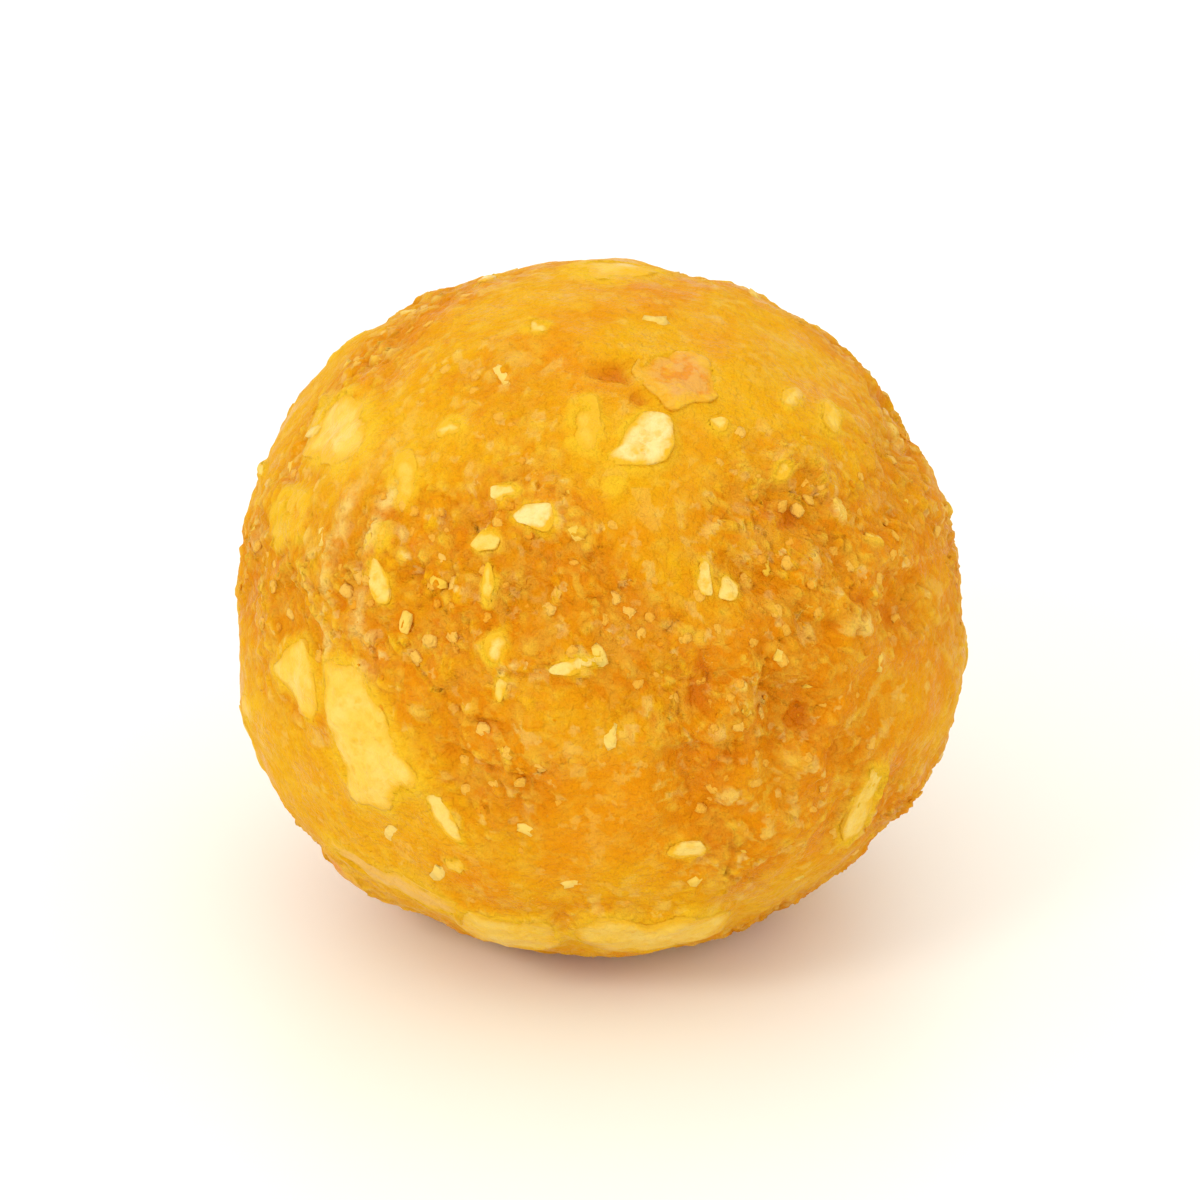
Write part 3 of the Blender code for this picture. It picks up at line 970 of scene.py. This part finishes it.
def buildSpeckGroup():  # ragged specks of one size, each with a tone of its own
    group = newGroup("crumbSpecks", ("Size", "Warp"), ("Tone", "Crown"))
    given = addNode(group, "NodeGroupInput").outputs
    place = millimetres(group, given["Size"])
    wobble = addNode(group, "ShaderNodeTexNoise", {
        "Vector": place, "Scale": specks["wobble"], "Detail": 1.0,
    })
    centred = addNode(group, "ShaderNodeVectorMath", {
        0: wobble.outputs["Color"], 1: (0.5, 0.5, 0.5),
    }, operation="SUBTRACT")
    pushed = addNode(group, "ShaderNodeVectorMath", {
        0: centred.outputs[0], "Scale": given["Warp"],
    }, operation="SCALE")
    moved = addNode(group, "ShaderNodeVectorMath", {0: place, 1: pushed.outputs[0]}, operation="ADD")
    cell = addNode(group, "ShaderNodeTexVoronoi", {"Vector": moved.outputs[0], "Scale": 1.0})
    parts = addNode(group, "ShaderNodeSeparateColor", {"Color": cell.outputs["Color"]})
    crown = maths(group, "SUBTRACT", 1.0, between(group, cell.outputs["Distance"], *specks["edge"]))
    addNode(group, "NodeGroupOutput", {"Tone": parts.outputs["Red"], "Crown": crown})
    return group


def buildGheeGroup():  # a film of ghee that comes and goes over the skin
    group = newGroup("gheeFilm", ("Size", "Dry", "Wet", "Coat"), ("Roughness", "Film"))
    given = addNode(group, "NodeGroupInput").outputs
    film = between(group, mottle(group, given["Size"], detail=2.0), *gheeLook["patches"])
    span = maths(group, "SUBTRACT", given["Wet"], given["Dry"])
    rough = maths(group, "ADD", given["Dry"], maths(group, "MULTIPLY", span, film))
    coat = maths(group, "MULTIPLY", film, given["Coat"])
    addNode(group, "NodeGroupOutput", {"Roughness": rough, "Film": coat})
    return group


def placeGroup(tree, group, inputs):
    return addNode(tree, "ShaderNodeGroup", inputs, node_tree=group)


def newMaterial(name):
    finish = bpy.data.materials.new(name)
    finish.use_nodes = True
    finish.node_tree.nodes.clear()
    return finish


def attribute(tree, name):
    return addNode(tree, "ShaderNodeAttribute", attribute_name=name).outputs["Fac"]


def product(tree, *factors):
    result = factors[0]
    for factor in factors[1:]:
        result = maths(tree, "MULTIPLY", result, factor)
    return result


def tinted(tree, look, tints, value, share, colour):  # lays a row of tints over a colour, by a value
    for name, most, start, whole in look[tints]:
        laid = product(tree, between(tree, value, start, whole), share, most)
        colour = mixColour(tree, laid, colour, look[name])
    return colour


def finishShader(tree, look, gheeGroup, colour, relief, subsurface):
    ghee = placeGroup(tree, gheeGroup, {
        "Size": gheeLook["size"], "Dry": look["dry"], "Wet": look["wet"], "Coat": look["coat"],
    })
    bump = addNode(tree, "ShaderNodeBump", {
        "Strength": pimples["strength"], "Distance": pimples["distance"], "Height": relief,
    })
    shader = addNode(tree, "ShaderNodeBsdfPrincipled", {
        "Base Color": colour,
        "Roughness": ghee.outputs["Roughness"],
        "Coat Weight": ghee.outputs["Film"],
        "Normal": bump.outputs["Normal"],
        "Specular IOR Level": look["specular"],
        "Subsurface Weight": subsurface,
        "Subsurface Radius": look["radius"],
        "Subsurface Scale": look["depth"],
        "Coat Roughness": gheeLook["coatRoughness"],
        "Coat IOR": gheeLook["coatIor"],
    })
    addNode(tree, "ShaderNodeOutputMaterial", {"Surface": shader.outputs["BSDF"]})


def doughMaterial(speckGroup, gheeGroup):
    finish = newMaterial("roastedMawa")
    tree = finish.node_tree
    look = doughFinish
    crumbly = attribute(tree, "crumbly")
    shown = maths(tree, "ADD", look["tintLeast"], product(tree, crumbly, 1 - look["tintLeast"]), clamp=True)
    colour = mixColour(tree, attribute(tree, "warm"), look["golden"], look["orange"])
    blotches = mottle(tree, look["blotchSize"], detail=3.0)
    colour = tinted(tree, look, "blotchTints", blotches, shown, colour)
    colour = tinted(tree, look, "grainTints", attribute(tree, "grain"), shown, colour)
    fine = mottle(tree, look["mottleSize"], detail=4.0)
    light = maths(tree, "ADD", look["mottleLeast"], product(tree, crumbly, look["mottleMore"]))
    colour = tinted(tree, look, "mottleTints", fine, light, colour)
    speck = placeGroup(tree, speckGroup, {"Size": look["speckSize"], "Warp": look["speckWarp"]})
    crown = product(tree, speck.outputs["Crown"], shown)
    colour = tinted(tree, look, "speckTints", speck.outputs["Tone"], crown, colour)
    # painted shade: gaps, cracks and hollows are mixed towards a dark orange
    gaps = product(tree, attribute(tree, "gapShade"), look["gapShadeStrength"])
    clefts = product(tree, attribute(tree, "hollow"), look["hollowShadeStrength"])
    colour = mixColour(tree, maths(tree, "ADD", gaps, clefts, clamp=True), colour, look["paintedShade"])
    glow = product(tree, attribute(tree, "shine"), between(tree, fine, *look["shinePatches"]))
    colour = mixColour(tree, glow, colour, look["shine"])
    crease = product(tree, attribute(tree, "crease"), between(tree, fine, *look["creasePatches"]))
    colour = mixColour(tree, crease, colour, look["creamSpeck"])
    relief = mottle(tree, look["pimpleSize"], detail=2.0)
    finishShader(tree, look, gheeGroup, colour, relief, look["subsurface"])
    return finish


def crumbMaterial(gheeGroup):
    finish = newMaterial("mawaCrumb")
    tree = finish.node_tree
    look = doughFinish
    colour = tinted(tree, look, "crumbTints", attribute(tree, "tone"), 1.0, look["orange"])
    relief = mottle(tree, look["pimpleSize"], detail=2.0)
    finishShader(tree, look, gheeGroup, colour, relief, subsurface=0.0)
    return finish


def nutMaterial(name, speckGroup, gheeGroup, subsurface):
    finish = newMaterial(name)
    tree = finish.node_tree
    look = nutFinish
    tone = attribute(tree, "tone")
    ramp = addNode(tree, "ShaderNodeValToRGB", {"Fac": tone})
    points = ramp.color_ramp.elements
    for position, colour in look["tones"][1:-1]:
        points.new(position).color = colour
    points[0].color = look["tones"][0][1]
    points[-1].color = look["tones"][-1][1]
    grain = mottle(tree, look["grainSize"], detail=3.0)
    patches = between(tree, mottle(tree, look["patchSize"], detail=2.0), *look["freshPatches"])
    pale = product(tree, patches, between(tree, tone, *look["freshTones"]), look["freshShare"])
    colour = mixColour(tree, pale, ramp.outputs["Color"], look["fresh"])
    tan = between(tree, tone, *look["redTones"])
    reddened = product(tree, tan, between(tree, grain, *look["redPatches"]))
    colour = mixColour(tree, reddened, colour, look["redSkin"])
    speck = placeGroup(tree, speckGroup, {"Size": look["speckSize"], "Warp": look["speckWarp"]})
    dust = between(tree, speck.outputs["Tone"], *look["dustSpecks"])
    dusted = product(tree, dust, speck.outputs["Crown"], look["dustShare"])
    worn = product(tree, between(tree, grain, *look["wornPatches"]), look["wornShare"])
    worn = product(tree, worn, between(tree, tone, *look["wornTones"]))
    film = product(tree, attribute(tree, "film"), between(tree, tone, *look["stainTones"]))
    stained = maths(tree, "ADD", film, maths(tree, "ADD", worn, dusted), clamp=True)
    colour = mixColour(tree, stained, colour, look["stain"])
    finishShader(tree, look, gheeGroup, colour, grain, subsurface)
    return finish


studio = {
    "floorSize": 3.0,
    "floorDrop": 0.00001,
    "floorColour": (0.96, 0.955, 0.89, 1),
    "floorRoughness": 0.4,
    "skyColour": (1.0, 0.995, 0.98, 1),
    "skyStrength": 1.12,
}
lamps = (
    {"name": "keySoftbox", "azimuth": -45, "elevation": 38, "away": 0.42, "size": 0.12, "power": 0.36},
    {"name": "fillSoftbox", "azimuth": 48, "elevation": 26, "away": 0.5, "size": 0.4, "power": 0.12},
    {"name": "backSoftbox", "azimuth": 165, "elevation": 55, "away": 0.6, "size": 0.4, "power": 0.17},
)
lampColour = (1.0, 0.99, 0.96)
view = {
    "azimuth": 0,
    "elevation": 26,
    "away": 0.215,
    "lens": 116.25,  # in millimetres, as is the sensor
    "sensor": 36.0,
    "nearest": 0.01,
    "aimUp": 0.0003,  # a little over the ball's middle
}


def standAt(azimuth, elevation, away):
    return Vector(middle) + Vector(towards(azimuth, elevation)) * away


def lookAt(thing, target):
    thing.rotation_euler = (Vector(target) - thing.location).to_track_quat("-Z", "Y").to_euler()


def makeFloor():
    mesh = bpy.data.meshes.new("floor")
    half = studio["floorSize"] / 2
    low = -studio["floorDrop"]
    corners = [(-half, -half, low), (half, -half, low), (half, half, low), (-half, half, low)]
    mesh.from_pydata(corners, [], [(0, 1, 2, 3)])
    floor = newObject("floor", mesh)
    paper = newMaterial("paleFloor")
    shader = addNode(paper.node_tree, "ShaderNodeBsdfPrincipled", {
        "Base Color": studio["floorColour"], "Roughness": studio["floorRoughness"],
    })
    addNode(paper.node_tree, "ShaderNodeOutputMaterial", {"Surface": shader.outputs["BSDF"]})
    mesh.materials.append(paper)


def makeLight():
    world = bpy.data.worlds.new("studioSky")
    world.use_nodes = True
    sky = world.node_tree.nodes["Background"]
    sky.inputs["Color"].default_value = studio["skyColour"]
    sky.inputs["Strength"].default_value = studio["skyStrength"]
    bpy.context.scene.world = world
    for lamp in lamps:
        light = bpy.data.lights.new(lamp["name"], "AREA")
        light.shape = "DISK"
        light.size = lamp["size"]
        light.energy = lamp["power"]
        light.color = lampColour
        holder = newObject(lamp["name"], light)
        holder.location = standAt(lamp["azimuth"], lamp["elevation"], lamp["away"])
        lookAt(holder, middle)


def makeCamera():
    lens = bpy.data.cameras.new("camera")
    lens.lens = view["lens"]
    lens.sensor_width = view["sensor"]
    lens.clip_start = view["nearest"]
    camera = newObject("camera", lens)
    camera.location = standAt(view["azimuth"], view["elevation"], view["away"])
    lookAt(camera, Vector(middle) + Vector((0, 0, view["aimUp"])))
    bpy.context.scene.camera = camera
    bpy.context.scene.view_settings.view_transform = "Standard"


chips = placeChips()
shapeRng = random.Random(chipMaking["seed"])
for chip in chips:
    shapeChip(chip, shapeRng)
print("nuts placed:", len(chips))

speckGroup = buildSpeckGroup()
gheeGroup = buildGheeGroup()
dough = makeDough(chips)
dough.data.materials.append(doughMaterial(speckGroup, gheeGroup))
print("dough:", len(dough.data.polygons), "faces")

nutChips = makeNutChips(chips)
nutChips.data.materials.append(nutMaterial("choppedNut", speckGroup, gheeGroup, nutFinish["subsurface"]))
print("nut chips:", len(nutChips.data.polygons), "faces")

shapes = [
    lumpShape("crumbShape", stretch=(1.1, 0.9, 0.42), rounding=0.9, jag=0.16, seed=1),
    lumpShape("bitShape", stretch=(1.35, 0.8, 0.38), rounding=0.6, jag=0.24, seed=2),
]
doughCrumbs = scatter("doughCrumbs", dough, crumbMaterial(gheeGroup))
nutBits = scatter("nutBits", dough, nutMaterial("nutBit", speckGroup, gheeGroup, 0.0))
for shape in shapes:
    bpy.data.objects.remove(shape, do_unlink=True)

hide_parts("ladoo")
slots = {
    "roasted_mawa": (dough, doughCrumbs),
    "chopped_nut": (nutChips, nutBits),
}
for slotName, pieces in slots.items():
    for piece in pieces:
        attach(piece, "root")
print("pieces ride on the ladoo")

makeFloor()
makeLight()
makeCamera()
print("studio and camera set")
